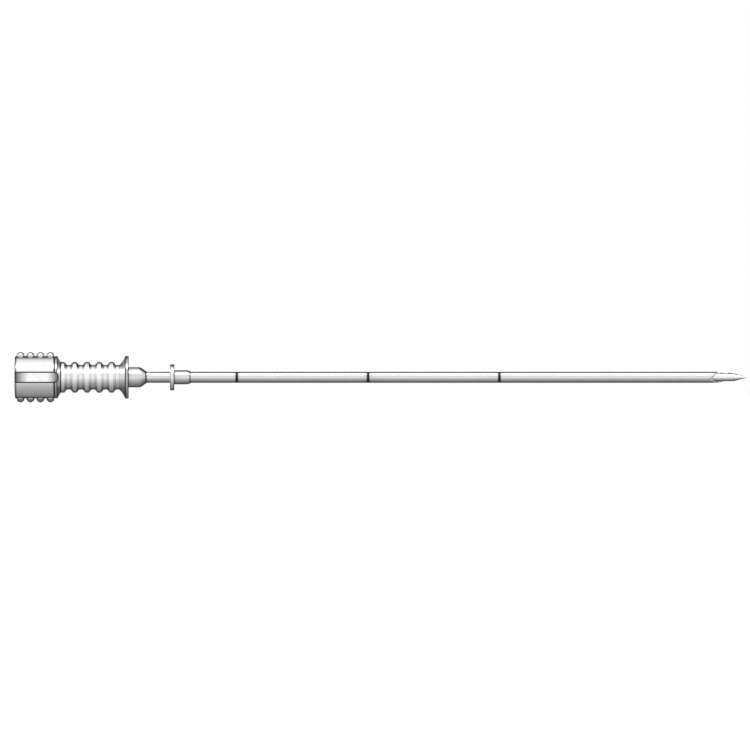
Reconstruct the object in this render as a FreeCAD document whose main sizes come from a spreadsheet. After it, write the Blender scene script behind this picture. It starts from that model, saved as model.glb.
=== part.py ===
import FreeCAD, Part
import math
import os
import Sketcher
from FreeCAD import Placement, Rotation, Vector

# Liver biopsy needle: a steel cannula in a corrugated luer hub, a pointed stylet that fills the
# cannula and is drawn out by its knob, and a depth stop that slides along the cannula.
# Millimetres. X runs along the needle towards the point, Z is up, and the origin is the centre of
# the hub's front face. The knob's key and the bevel's heel are on the -Y side.

NEAR = 0.001

doc = FreeCAD.newDocument("liver_biopsy_needle")

# Driving dimensions: name, size, what it is
SIZES = [
    ("cannula_diameter", 2.11, "outside of a 14 gauge tube"),
    ("cannula_bore", 1.60, "inside of the tube"),
    ("cannula_reach", 115.74, "hub face to the far lip of the bevel"),
    ("bevel_length", 4.76, "heel to lip"),
    ("grinding_radius", 9.2, "wheel that hollows the bevel"),
    ("bevel_turn", 19, "degrees that the heel is turned below the key"),
    ("heel_flat_length", 0.42, "flat ground behind the heel, along the tube"),
    ("heel_flat_depth", 0.076, "depth of that flat at the heel"),
    ("rim_break", 0.07, "chamfer round the bevel's outer rim"),
    ("first_mark", 20.6, "hub face to the first band's middle"),
    ("mark_pitch", 25.0, "from band to band"),
    ("mark_count", 3, "bands round the tube"),
    ("mark_width", 0.45, "band along the tube"),
    ("mark_depth", 0.04, "groove that holds the band's black fill"),
    ("flange_diameter", 8.1, "front flange and rear collar"),
    ("flange_thickness", 0.63, "front flange at its rim"),
    ("front_cone_length", 0.65, "front flange down to the ribs"),
    ("rear_cone_length", 0.65, "ribs up to the rear collar"),
    ("collar_thickness", 0.46, "rear collar at its rim"),
    ("crest_diameter", 5.87, "grip at its ribs"),
    ("trough_diameter", 4.70, "grip between its ribs"),
    ("crest_flat", 0.69, "flat top of a rib"),
    ("trough_flat", 0.63, "flat floor between ribs"),
    ("rib_pitch", 2.33, "from rib to rib"),
    ("rib_count", 5, "ribs along the grip"),
    ("luer_mouth_diameter", 4.27, "female taper at its mouth"),
    ("luer_taper", 0.06, "loss of diameter per length"),
    ("luer_depth", 7.5, "mouth to the socket's floor"),
    ("funnel_length", 1.0, "socket's floor down to the bore"),
    ("throat_length", 0.4, "shoulder that the tube's tail meets"),
    ("nose_diameter", 3.85, "nose in front of the hub"),
    ("nose_shoulder", 2.15, "hub face to the nose's shoulder"),
    ("nose_length", 3.4, "hub face to the nose's tip"),
    ("nose_lip", 0.08, "wall left at the nose's tip"),
    ("spigot_length", 2.0, "hub face to the end of the nose's tail, inside the hub"),
    ("stylet_clearance", 0.05, "round the rod, in the bore"),
    ("point_length", 2.75, "ground cone of the stylet"),
    ("point_stand_out", 2.26, "stylet's point past the cannula's lip"),
    ("rod_seat", 5.0, "rod's tail in the knob"),
    ("cap_diameter", 8.1, "knob"),
    ("cap_length", 7.57, "knob along the needle"),
    ("cap_gap", 0.05, "knob to the hub's mouth"),
    ("cap_edge", 0.25, "rounding of the knob's rear edge"),
    ("bead_radius", 0.76, "half-round grip beads"),
    ("bead_length", 2.0, "bead across the knob"),
    ("bead_pitch", 1.9, "from bead to bead"),
    ("bead_count", 4, "in each of the two rows"),
    ("first_bead", 1.05, "knob's rear face to the first bead"),
    ("plug_length", 6.5, "male taper in front of the knob"),
    ("plug_clearance", 0.02, "round the male taper, in the socket"),
    ("plug_tip_break", 0.2, "chamfer of the taper's tip"),
    ("plug_spigot_diameter", 3.4, "tail of the plug, in the knob"),
    ("plug_spigot_length", 3.0, "depth of the tail in the knob"),
    ("key_width", 2.06, "index bar, along the knob's side"),
    ("key_floor", 3.05, "axis to the bar's underside"),
    ("key_stand_out", 0.25, "bar above the knob"),
    ("key_lap", 0.76, "bar past the hub's mouth"),
    ("notch_clearance", 0.06, "round the bar, in the hub"),
    ("stop_place", 7.89, "hub face to the stop at rest"),
    ("disc_diameter", 4.95, "disc of the stop"),
    ("disc_thickness", 0.8, "disc along the needle"),
    ("disc_wall", 0.2, "rear wall of the ring's pocket"),
    ("pocket_diameter", 3.4, "pocket of the friction ring"),
    ("sleeve_diameter", 2.7, "sleeve in front of the disc"),
    ("sleeve_length", 3.1, "disc's front face to the sleeve's tip"),
    ("sleeve_shoulder", 2.15, "disc's front face to the shoulder"),
    ("sleeve_lip", 0.06, "wall left at the sleeve's tip"),
    ("sleeve_foot", 0.25, "foot that closes the ring's pocket"),
    ("stop_clearance", 0.04, "round the tube, in disc and sleeve"),
    ("ring_clearance", 0.02, "round the ring, in its pocket and on the tube"),
]

# Places along the needle and radii about it that follow from the sizes: name, formula
PLACES = [
    ("tube_rim", "sizes.cannula_diameter / 2"),
    ("bore_rim", "sizes.cannula_bore / 2"),
    ("flange_rim", "sizes.flange_diameter / 2"),
    ("crest_rim", "sizes.crest_diameter / 2"),
    ("trough_rim", "sizes.trough_diameter / 2"),
    ("flange_back", "-sizes.flange_thickness"),
    ("ribs_front", "flange_back - sizes.front_cone_length"),
    ("rib_flank", "(sizes.rib_pitch - sizes.crest_flat - sizes.trough_flat) / 2"),
    ("trough_front", "ribs_front - rib_flank"),
    ("trough_back", "trough_front - sizes.trough_flat"),
    ("groove_back", "trough_back - rib_flank"),
    ("groove_top", "sizes.flange_diameter"),
    ("ribs_back", "ribs_front - sizes.rib_count * sizes.rib_pitch"),
    ("collar_front", "ribs_back - sizes.rear_cone_length"),
    ("hub_mouth", "collar_front - sizes.collar_thickness"),
    ("luer_mouth_rim", "sizes.luer_mouth_diameter / 2"),
    ("luer_floor", "hub_mouth + sizes.luer_depth"),
    ("luer_floor_rim", "luer_mouth_rim - sizes.luer_taper / 2 * sizes.luer_depth"),
    ("funnel_front", "luer_floor + sizes.funnel_length"),
    ("tube_tail", "funnel_front + sizes.throat_length"),
    ("spigot_back", "-sizes.spigot_length"),
    ("nose_rim", "sizes.nose_diameter / 2"),
    ("nose_shoulder", "sizes.nose_shoulder"),
    ("nose_tip", "sizes.nose_length"),
    ("nose_tip_rim", "tube_rim + sizes.nose_lip"),
    ("bevel_heel", "sizes.cannula_reach - sizes.bevel_length"),
    ("heel_flat_back", "bevel_heel - sizes.heel_flat_length"),
    ("heel_flat_front", "bevel_heel + 2 * sizes.heel_flat_length"),
    ("heel_flat_low", "-tube_rim"),
    ("heel_flat_high", "heel_flat_low + 3 * sizes.heel_flat_depth"),
    ("heel_flat_below", "-sizes.cannula_diameter"),
    ("tube_blank_front", "sizes.cannula_reach + bore_rim / 2"),
    ("bevel_chord", "sqrt(sizes.bevel_length ^ 2 + sizes.cannula_diameter ^ 2)"),
    ("wheel_rim", "sizes.grinding_radius"),
    ("wheel_height", "sqrt(wheel_rim ^ 2 - (bevel_chord / 2) ^ 2)"),
    ("wheel_lean", "wheel_height * sizes.cannula_diameter / bevel_chord"),
    ("wheel_along", "bevel_heel + sizes.bevel_length / 2 + wheel_lean"),
    ("wheel_aside", "-wheel_height * sizes.bevel_length / bevel_chord"),
    ("mark_back", "sizes.first_mark - sizes.mark_width / 2"),
    ("mark_front", "sizes.first_mark + sizes.mark_width / 2"),
    ("mark_floor", "tube_rim - sizes.mark_depth"),
    ("rod_rim", "bore_rim - sizes.stylet_clearance"),
    ("point_end", "sizes.cannula_reach + sizes.point_stand_out"),
    ("point_shoulder", "point_end - sizes.point_length"),
    ("cap_rim", "sizes.cap_diameter / 2"),
    ("cap_front", "hub_mouth - sizes.cap_gap"),
    ("cap_rear", "cap_front - sizes.cap_length"),
    ("rod_tail", "cap_front - sizes.rod_seat"),
    ("cap_bottom", "-cap_rim"),
    ("bead_place", "cap_rear + sizes.first_bead"),
    ("bead_rim", "sizes.bead_radius"),
    ("plug_spigot_rim", "sizes.plug_spigot_diameter / 2"),
    ("plug_spigot_back", "cap_front - sizes.plug_spigot_length"),
    ("plug_root_rim", "luer_mouth_rim - sizes.plug_clearance + sizes.luer_taper / 2 * sizes.cap_gap"),
    ("plug_tip", "cap_front + sizes.plug_length"),
    ("plug_taper_length", "sizes.plug_length - sizes.plug_tip_break"),
    ("plug_break_back", "cap_front + plug_taper_length"),
    ("plug_break_rim", "plug_root_rim - sizes.luer_taper / 2 * plug_taper_length"),
    ("plug_tip_rim", "plug_break_rim - sizes.plug_tip_break"),
    ("key_floor", "sizes.key_floor"),
    ("key_half", "sizes.key_width / 2"),
    ("key_low", "-key_half"),
    ("key_height", "cap_rim + sizes.key_stand_out - sizes.key_floor"),
    ("key_round", "hub_mouth + sizes.key_lap - key_half"),
    ("slot_back", "cap_rear - sizes.key_stand_out"),
    ("slot_front", "cap_front + sizes.key_stand_out"),
    ("slot_depth", "cap_rim - sizes.key_floor + sizes.bead_radius"),
    ("notch_half", "key_half + sizes.notch_clearance"),
    ("notch_low", "-notch_half"),
    ("notch_floor", "sizes.key_floor - sizes.notch_clearance"),
    ("notch_depth", "flange_rim - notch_floor + sizes.key_stand_out"),
    ("disc_rim", "sizes.disc_diameter / 2"),
    ("disc_front", "sizes.disc_thickness"),
    ("pocket_back", "sizes.disc_wall"),
    ("pocket_rim", "sizes.pocket_diameter / 2"),
    ("stop_bore_rim", "tube_rim + sizes.stop_clearance"),
    ("sleeve_rim", "sizes.sleeve_diameter / 2"),
    ("sleeve_foot_back", "disc_front - sizes.sleeve_foot"),
    ("sleeve_shoulder_end", "disc_front + sizes.sleeve_shoulder"),
    ("sleeve_tip", "disc_front + sizes.sleeve_length"),
    ("sleeve_tip_rim", "stop_bore_rim + sizes.sleeve_lip"),
    ("ring_back", "pocket_back + sizes.ring_clearance"),
    ("ring_front", "sleeve_foot_back - sizes.ring_clearance"),
    ("ring_bore_rim", "tube_rim + sizes.ring_clearance"),
    ("ring_rim", "pocket_rim - sizes.ring_clearance"),
]

sizes = doc.addObject("Spreadsheet::Sheet", "sizes")
for row, (name, size, meaning) in enumerate(SIZES, start=1):
    sizes.set(f"A{row}", name)
    sizes.set(f"B{row}", str(size))
    sizes.setAlias(f"B{row}", name)
    sizes.set(f"C{row}", meaning)
doc.recompute()

places = doc.addObject("Spreadsheet::Sheet", "places")
for row, (name, formula) in enumerate(PLACES, start=1):
    places.set(f"A{row}", name)
    places.setAlias(f"B{row}", name)
    places.set(f"B{row}", f"={formula}")
doc.recompute()


def new_body(label):
    body = doc.addObject("PartDesign::Body", label + "_body")
    body.Label = label
    return body


def origin_part(body, role):
    return next(item for item in body.Origin.OriginFeatures if item.Role == role)


def new_sketch(body, name, role="XZ_Plane", lift=None):
    """Sketch on one of the body's own origin planes, lifted along the plane's normal by a place."""
    sketch = body.newObject("Sketcher::SketchObject", name)
    sketch.AttachmentSupport = [(origin_part(body, role), "")]
    sketch.MapMode = "FlatFace"
    if lift:
        sketch.setExpression("AttachmentOffset.Base.z", f"places.{lift}")
    return sketch


def value_of(place):
    """A place's number now. The axis and the planes through the origin are plain zeros."""
    return getattr(places, place) if place else 0


def hold(sketch, kind, place, *where):
    """Constraint of one size that follows the named place."""
    index = sketch.addConstraint(Sketcher.Constraint(kind, *where, value_of(place)))
    if place:
        sketch.setExpression(f"Constraints[{index}]", f"places.{place}")


def draw_outline(sketch, corners):
    """Closed outline of straight lines, each corner held by its two places."""
    points = [Vector(value_of(across), value_of(up), 0) for across, up in corners]
    for start, end in zip(points, points[1:] + points[:1]):
        sketch.addGeometry(Part.LineSegment(start, end), False)
    for line, (across, up) in enumerate(corners):
        before = (line - 1) % len(corners)
        sketch.addConstraint(Sketcher.Constraint("Coincident", before, 2, line, 1))
        hold(sketch, "DistanceX", across, line, 1)
        hold(sketch, "DistanceY", up, line, 1)


def draw_circle(sketch, across, up, radius):
    centre = Vector(value_of(across), value_of(up), 0)
    circle = sketch.addGeometry(Part.Circle(centre, Vector(0, 0, 1), value_of(radius)), False)
    hold(sketch, "DistanceX", across, circle, 3)
    hold(sketch, "DistanceY", up, circle, 3)
    hold(sketch, "Radius", radius, circle)


def draw_bar(sketch, back, middle, low, high):
    """Bar along the needle whose front end is a half circle about the middle place."""
    rear_high, rear_low, front_low, front_high = [
        Vector(value_of(across), value_of(up), 0)
        for across, up in ((back, high), (back, low), (middle, low), (middle, high))]
    circle = Part.Circle(Vector(value_of(middle), 0, 0), Vector(0, 0, 1), value_of(high))
    sketch.addGeometry(Part.LineSegment(rear_high, rear_low), False)
    sketch.addGeometry(Part.LineSegment(rear_low, front_low), False)
    sketch.addGeometry(Part.ArcOfCircle(circle, -math.pi / 2, math.pi / 2), False)
    sketch.addGeometry(Part.LineSegment(front_high, rear_high), False)
    for line in range(4):
        sketch.addConstraint(Sketcher.Constraint("Coincident", line, 2, (line + 1) % 4, 1))
    for line, end, across, up in ((0, 1, back, high), (1, 1, back, low), (2, 3, middle, 0)):
        hold(sketch, "DistanceX", across, line, end)
        hold(sketch, "DistanceY", up, line, end)
    hold(sketch, "DistanceX", middle, 2, 1)
    hold(sketch, "DistanceX", middle, 2, 2)
    hold(sketch, "Radius", high, 2)


def turn(body, name, corners):
    """Solid of revolution about the needle's axis."""
    sketch = new_sketch(body, name + "_section")
    draw_outline(sketch, corners)
    feature = body.newObject("PartDesign::Revolution", name)
    feature.Profile = sketch
    feature.ReferenceAxis = (sketch, ["H_Axis"])
    feature.Angle = 360
    doc.recompute()
    return feature


def turn_away(body, name, corners):
    """Turned groove about the needle's axis."""
    sketch = new_sketch(body, name + "_section")
    draw_outline(sketch, corners)
    feature = body.newObject("PartDesign::Groove", name)
    feature.Profile = sketch
    feature.ReferenceAxis = (sketch, ["H_Axis"])
    feature.Angle = 360
    doc.recompute()
    return feature


def pad(body, name, sketch, height):
    feature = body.newObject("PartDesign::Pad", name)
    feature.Profile = sketch
    feature.setExpression("Length", f"places.{height}")
    doc.recompute()
    return feature


def pocket(body, name, sketch, depth):
    """Pocket that cuts along the sketch's normal, away from the axis."""
    before = body.Shape.Volume
    feature = body.newObject("PartDesign::Pocket", name)
    feature.Profile = sketch
    feature.Reversed = True
    feature.setExpression("Length", f"places.{depth}")
    doc.recompute()
    check_cut(name, before, body.Shape.Volume)
    return feature


def check_cut(name, before, after):
    if after >= before:
        raise RuntimeError(f"{name} cuts nothing")


def turn_to_heel(sketch):
    """Turn a sketch on the XY plane about the needle, so that its low side is the heel's side."""
    sketch.AttachmentOffset = Placement(Vector(), Rotation(Vector(1, 0, 0), sizes.bevel_turn))
    sketch.setExpression("AttachmentOffset.Rotation.Angle", "sizes.bevel_turn")


def cut_across(body, name, sketch):
    """Pocket right across the tube, both ways from the sketch."""
    before = body.Shape.Volume
    feature = body.newObject("PartDesign::Pocket", name)
    feature.Profile = sketch
    feature.SideType = "Symmetric"
    feature.setExpression("Length", "2 * sizes.cannula_diameter")
    doc.recompute()
    check_cut(name, before, body.Shape.Volume)
    return feature


def repeat(body, name, features, pitch, count, backwards=False):
    """Copies of features in a row along the needle."""
    pattern = body.newObject("PartDesign::LinearPattern", name)
    pattern.Originals = features
    pattern.Direction = (origin_part(body, "X_Axis"), [""])
    pattern.Reversed = backwards
    pattern.Mode = "Spacing"
    pattern.setExpression("Offset", f"sizes.{pitch}")
    pattern.setExpression("Occurrences", f"sizes.{count}")
    body.Tip = pattern
    doc.recompute()
    return pattern


def edges_where(feature, wanted):
    """Names of the feature's edges that pass a test."""
    edges = enumerate(feature.Shape.Edges, start=1)
    return [f"Edge{number}" for number, edge in edges if wanted(edge)]


def lies_at(edge, radius):
    """True for a curved edge that starts at a radius about the axis."""
    start = edge.valueAt(edge.FirstParameter)
    return not isinstance(edge.Curve, Part.Line) and abs(math.hypot(start.y, start.z) - radius) < NEAR


def is_bevel_rim(edge):
    """True for the bevel's edge on the outside of the tube, from the heel's flat to the lip."""
    return lies_at(edge, places.tube_rim) and edge.BoundBox.XMax > places.heel_flat_front


def is_rear_edge(edge):
    """True for the knob's outer edge at the rear."""
    return lies_at(edge, places.cap_rim) and edge.BoundBox.XMax < places.cap_front - NEAR


def make_hub_body():
    body = new_body("hub_body")
    turn(body, "hub_blank", [
        ("hub_mouth", "luer_mouth_rim"), ("hub_mouth", "flange_rim"), ("collar_front", "flange_rim"),
        ("ribs_back", "crest_rim"), ("ribs_front", "crest_rim"), ("flange_back", "flange_rim"),
        (0, "flange_rim"), (0, "nose_rim"), ("spigot_back", "nose_rim"),
        ("spigot_back", "tube_rim"), ("tube_tail", "tube_rim"), ("tube_tail", "bore_rim"),
        ("funnel_front", "bore_rim"), ("luer_floor", "luer_floor_rim"),
    ])
    trough = turn_away(body, "trough", [
        ("ribs_front", "crest_rim"), ("trough_front", "trough_rim"), ("trough_back", "trough_rim"),
        ("groove_back", "crest_rim"), ("groove_back", "groove_top"), ("ribs_front", "groove_top"),
    ])
    repeat(body, "troughs", [trough], "rib_pitch", "rib_count", backwards=True)
    notch = new_sketch(body, "notch_outline", lift="notch_floor")
    draw_bar(notch, "slot_back", "key_round", "notch_low", "notch_half")
    pocket(body, "notch", notch, "notch_depth")
    return body


def make_nose_ferrule():
    body = new_body("nose_ferrule")
    turn(body, "nose", [
        ("spigot_back", "tube_rim"), ("spigot_back", "nose_rim"), ("nose_shoulder", "nose_rim"),
        ("nose_tip", "nose_tip_rim"), ("nose_tip", "tube_rim"),
    ])
    return body


def make_cannula():
    body = new_body("cannula")
    turn(body, "tube", [
        ("tube_tail", "bore_rim"), ("tube_tail", "tube_rim"),
        ("tube_blank_front", "tube_rim"), ("tube_blank_front", "bore_rim"),
    ])
    flat = new_sketch(body, "heel_flat_side", "XY_Plane")
    turn_to_heel(flat)
    draw_outline(flat, [
        ("heel_flat_back", "heel_flat_low"), ("heel_flat_back", "heel_flat_below"),
        ("heel_flat_front", "heel_flat_below"), ("heel_flat_front", "heel_flat_high"),
    ])
    cut_across(body, "heel_flat", flat)
    wheel = new_sketch(body, "grinding_wheel", "XY_Plane")
    turn_to_heel(wheel)
    draw_circle(wheel, "wheel_along", "wheel_aside", "wheel_rim")
    bevel = cut_across(body, "bevel", wheel)
    rim = body.newObject("PartDesign::Chamfer", "outer_grind")
    rim.Base = (bevel, edges_where(bevel, is_bevel_rim))
    rim.setExpression("Size", "sizes.rim_break")
    doc.recompute()
    check_cut("outer_grind", bevel.Shape.Volume, body.Shape.Volume)
    groove = turn_away(body, "mark_groove", [
        ("mark_back", "mark_floor"), ("mark_back", "nose_rim"),
        ("mark_front", "nose_rim"), ("mark_front", "mark_floor"),
    ])
    repeat(body, "mark_grooves", [groove], "mark_pitch", "mark_count")
    return body


def make_depth_marks():
    body = new_body("depth_marks")
    body.AllowCompound = True
    band = turn(body, "band", [
        ("mark_back", "mark_floor"), ("mark_back", "tube_rim"),
        ("mark_front", "tube_rim"), ("mark_front", "mark_floor"),
    ])
    repeat(body, "bands", [band], "mark_pitch", "mark_count")
    return body


def make_stylet_rod():
    body = new_body("stylet_rod")
    turn(body, "rod", [
        ("rod_tail", 0), ("rod_tail", "rod_rim"), ("point_shoulder", "rod_rim"), ("point_end", 0),
    ])
    return body


def make_stylet_plug():
    body = new_body("stylet_plug")
    turn(body, "plug", [
        ("plug_spigot_back", "rod_rim"), ("plug_spigot_back", "plug_spigot_rim"),
        ("cap_front", "plug_spigot_rim"), ("cap_front", "plug_root_rim"),
        ("plug_break_back", "plug_break_rim"), ("plug_tip", "plug_tip_rim"), ("plug_tip", "rod_rim"),
    ])
    return body


def make_stylet_cap():
    body = new_body("stylet_cap")
    blank = turn(body, "cap_blank", [
        ("cap_rear", 0), ("cap_rear", "cap_rim"), ("cap_front", "cap_rim"),
        ("cap_front", "plug_spigot_rim"), ("plug_spigot_back", "plug_spigot_rim"),
        ("plug_spigot_back", "rod_rim"), ("rod_tail", "rod_rim"), ("rod_tail", 0),
    ])
    rounding = body.newObject("PartDesign::Fillet", "rear_rounding")
    rounding.Base = (blank, edges_where(blank, is_rear_edge))
    rounding.setExpression("Radius", "sizes.cap_edge")
    doc.recompute()
    make_beads(body)
    flat = new_sketch(body, "key_slot_flat", lift="key_floor")
    draw_outline(flat, [
        ("slot_back", "key_low"), ("slot_front", "key_low"),
        ("slot_front", "key_half"), ("slot_back", "key_half"),
    ])
    pocket(body, "key_slot", flat, "slot_depth")
    return body


def make_beads(body):
    """Short half-round beads across the knob, a row along the top and a row along the bottom."""
    ends = new_sketch(body, "bead_ends")
    draw_circle(ends, "bead_place", "cap_rim", "bead_rim")
    draw_circle(ends, "bead_place", "cap_bottom", "bead_rim")
    bead = body.newObject("PartDesign::Pad", "bead_pair")
    bead.Profile = ends
    bead.SideType = "Symmetric"
    bead.setExpression("Length", "sizes.bead_length")
    doc.recompute()
    repeat(body, "beads", [bead], "bead_pitch", "bead_count")


def make_index_key():
    body = new_body("index_key")
    bar = new_sketch(body, "key_outline", lift="key_floor")
    draw_bar(bar, "cap_rear", "key_round", "key_low", "key_half")
    pad(body, "key", bar, "key_height")
    return body


def place_on_tube(body):
    """Stand a piece of the stop at the stop's place along the cannula."""
    body.setExpression("Placement.Base.x", "sizes.stop_place")
    return body


def make_stop_disc():
    body = new_body("stop_disc")
    turn(body, "disc", [
        (0, "stop_bore_rim"), (0, "disc_rim"), ("disc_front", "disc_rim"), ("disc_front", "pocket_rim"),
        ("pocket_back", "pocket_rim"), ("pocket_back", "stop_bore_rim"),
    ])
    return place_on_tube(body)


def make_stop_sleeve():
    body = new_body("stop_sleeve")
    turn(body, "sleeve", [
        ("sleeve_foot_back", "stop_bore_rim"), ("sleeve_foot_back", "pocket_rim"),
        ("disc_front", "pocket_rim"), ("disc_front", "sleeve_rim"),
        ("sleeve_shoulder_end", "sleeve_rim"), ("sleeve_tip", "sleeve_tip_rim"),
        ("sleeve_tip", "stop_bore_rim"),
    ])
    return place_on_tube(body)


def make_stop_ring():
    body = new_body("stop_ring")
    turn(body, "ring", [
        ("ring_back", "ring_bore_rim"), ("ring_back", "ring_rim"),
        ("ring_front", "ring_rim"), ("ring_front", "ring_bore_rim"),
    ])
    return place_on_tube(body)


def check_document():
    for item in doc.Objects:
        if "Invalid" in item.State or "Error" in item.State:
            raise RuntimeError(f"{item.Label} has not been made: {item.State}")


def write_piece(body):
    shape = body.Shape
    if shape.isNull() or not shape.isValid():
        raise RuntimeError(f"{body.Label} has no valid shape")
    shape.exportStep(f"parts/{body.Label}.step")
    box = shape.optimalBoundingBox(False)
    print(f"{body.Label}: {len(shape.Solids)} solids, {shape.Volume:.3f} mm3, "
          f"x {box.XMin:.3f} to {box.XMax:.3f}, z {box.ZMin:.3f} to {box.ZMax:.3f}")


pieces = [
    make_hub_body(), make_nose_ferrule(), make_cannula(), make_depth_marks(),
    make_stylet_cap(), make_index_key(), make_stylet_plug(), make_stylet_rod(),
    make_stop_ring(), make_stop_disc(), make_stop_sleeve(),
]
doc.recompute()
check_document()
os.makedirs("parts", exist_ok=True)
for piece in pieces:
    write_piece(piece)
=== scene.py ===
# %% [markdown]
# # Liver biopsy needle
# The instrument is a steel tube in a turned hub, a pointed stylet that fills the tube and is drawn
# out by its knob, and a small stop that slides along the tube. Nearly every piece is turned on a
# lathe, so nearly every mesh here is an outline spun about the X axis. The sizes are written in
# millimetres and made metres where a mesh is born.

# %% Load the frame
import math
import bpy
import bmesh
import numpy as np
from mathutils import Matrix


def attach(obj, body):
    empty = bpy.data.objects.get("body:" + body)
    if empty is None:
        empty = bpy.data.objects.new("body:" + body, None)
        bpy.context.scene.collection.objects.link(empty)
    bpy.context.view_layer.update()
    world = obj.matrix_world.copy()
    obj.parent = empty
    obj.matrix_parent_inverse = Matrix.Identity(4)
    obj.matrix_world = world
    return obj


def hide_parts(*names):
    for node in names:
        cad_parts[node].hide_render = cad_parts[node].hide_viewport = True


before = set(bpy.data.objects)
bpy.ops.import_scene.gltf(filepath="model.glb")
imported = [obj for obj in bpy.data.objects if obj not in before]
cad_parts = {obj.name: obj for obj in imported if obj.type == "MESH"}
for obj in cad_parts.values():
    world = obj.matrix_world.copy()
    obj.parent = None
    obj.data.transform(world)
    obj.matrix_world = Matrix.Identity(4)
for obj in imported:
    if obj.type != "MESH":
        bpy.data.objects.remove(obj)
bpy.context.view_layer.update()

MM = 0.001
print("solids:", sorted(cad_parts))

# %% [markdown]
# ## Camera
# The drawing shows the needle square from the side with no vanishing lines. A very long lens far
# away gives that, and keeps a normal perspective camera, which an orthographic one would not be.
# The frame is 142.86 mm wide at the needle, so a millimetre is 5.25 pixels of 750. The camera's aim
# puts the needle where the drawing has it.

# %% Set the camera
LENS_MM, SENSOR_MM, FRAME_WIDTH_MM = 600, 36, 142.857
AIM_X_MM, AIM_Z_MM = 46.914, 0.438
aim_x, aim_z = AIM_X_MM * MM, AIM_Z_MM * MM
distance = LENS_MM / SENSOR_MM * FRAME_WIDTH_MM * MM
camera_data = bpy.data.cameras.new("side_camera")
camera_data.lens, camera_data.sensor_width = LENS_MM, SENSOR_MM
camera_data.clip_start, camera_data.clip_end = 0.1, 20
camera = bpy.data.objects.new("side_camera", camera_data)
camera.location = (aim_x, -distance, aim_z)
camera.rotation_euler = (math.radians(90), 0, 0)
bpy.context.scene.collection.objects.link(camera)
bpy.context.scene.camera = camera
bpy.context.scene.view_settings.view_transform = "Standard"
print(f"camera {distance:.3f} m from the needle")

# %% [markdown]
# ## Outlines that can be turned
# A real turned edge is never knife sharp: the tool or the deburring leaves a tiny radius, and that
# radius is what catches the light. So an outline is a list of corners, each with its own rounding,
# and a short arc replaces the corner. Each corner also says how dark it is painted. Painted shade
# darkens corners, rims and recesses, grime darkens joints, and a vertex attribute carries both to
# the material. Points a little beside each corner keep the painted shade, and the bent shading,
# close to it.

# %% Round the corners of an outline
ARC_STEPS = 4
# Shares of a leg that the arc, the painted shade and its fade may take, so that none passes the leg's middle
ARC_SHARE, SOIL_SHARE, FADE_SHARE = 0.4, 0.43, 0.46


def rounded(corners, closed=False, reach=0.16):
    """Points (along, radius, shade) from corners (along, radius, rounding, shade), in millimetres, where
    shade is the painted shade and grime there. Reach is how far beside a corner's arc that fades out."""
    points = []
    for index, (along, radius, rounding, painted_shade_and_grime) in enumerate(corners):
        here = np.array([along, radius])
        if not closed and index in (0, len(corners) - 1):
            points.append((along, radius, painted_shade_and_grime))
            continue
        legs = [np.array(corners[(index + step) % len(corners)][:2]) - here for step in (-1, 1)]
        lengths = [np.linalg.norm(leg) for leg in legs]
        ways = [leg / length for leg, length in zip(legs, lengths)]
        half = math.acos(max(-1, min(1, float(ways[0] @ ways[1])))) / 2
        cut = min(rounding / math.tan(half), ARC_SHARE * min(lengths)) if rounding else 0
        side = [here + way * min(cut + reach, FADE_SHARE * length)
                for way, length in zip(ways, lengths)]
        kept = [here + way * min(cut + reach / 2, SOIL_SHARE * length)
                for way, length in zip(ways, lengths)]
        points += [(*side[0], 0), (*kept[0], painted_shade_and_grime)]
        if cut:
            middle = here + (ways[0] + ways[1]) / np.linalg.norm(ways[0] + ways[1]) * cut / math.cos(half)
            start, end = here + ways[0] * cut - middle, here + ways[1] * cut - middle
            sweep = math.pi - 2 * half
            for step in range(ARC_STEPS + 1):
                part = step / ARC_STEPS
                arm = (math.sin((1 - part) * sweep) * start + math.sin(part * sweep) * end) / math.sin(sweep)
                points.append((*(middle + arm), painted_shade_and_grime))
        else:
            points.append((along, radius, painted_shade_and_grime))
        points += [(*kept[1], painted_shade_and_grime), (*side[1], 0)]
    return points


test = rounded([(0, 0, 0, 0), (0, 2, 0.2, 1), (5, 2, 0.2, 1), (5, 0, 0, 0)])
print(len(test), "points round a plain pin")

# %% [markdown]
# ## Turning
# The Screw modifier or bmesh's spin could turn the outline. Here the rings are written straight
# into the mesh, because then the first and last column are the same vertices, points on the axis
# are single poles, and each ring can keep its own painted shade and grime. Normals are recalculated
# once, outwards.

# %% Make a mesh, and turn an outline
AROUND, ON_AXIS = 160, 1e-6


def new_piece(name, vertices, faces, painted_shade_and_grime):
    """Object from vertices in metres. The painted shade and grime is one number from 0 to 1 for each vertex.
    """
    mesh = bpy.data.meshes.new(name)
    mesh.from_pydata([tuple(v) for v in vertices], [], faces)
    mesh.attributes.new("painted_shade_and_grime", "FLOAT", "POINT").data.foreach_set("value", painted_shade_and_grime)
    tidy = bmesh.new()
    tidy.from_mesh(mesh)
    bmesh.ops.recalc_face_normals(tidy, faces=tidy.faces)
    tidy.to_mesh(mesh)
    tidy.free()
    smooth(mesh)
    piece = bpy.data.objects.new(name, mesh)
    bpy.context.scene.collection.objects.link(piece)
    return piece


def smooth(mesh, angle=32):
    """Smooth shading, with a sharp edge where two faces turn by more than the angle in degrees."""
    mesh.shade_smooth()
    mesh.set_sharp_from_angle(angle=math.radians(angle))


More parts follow.
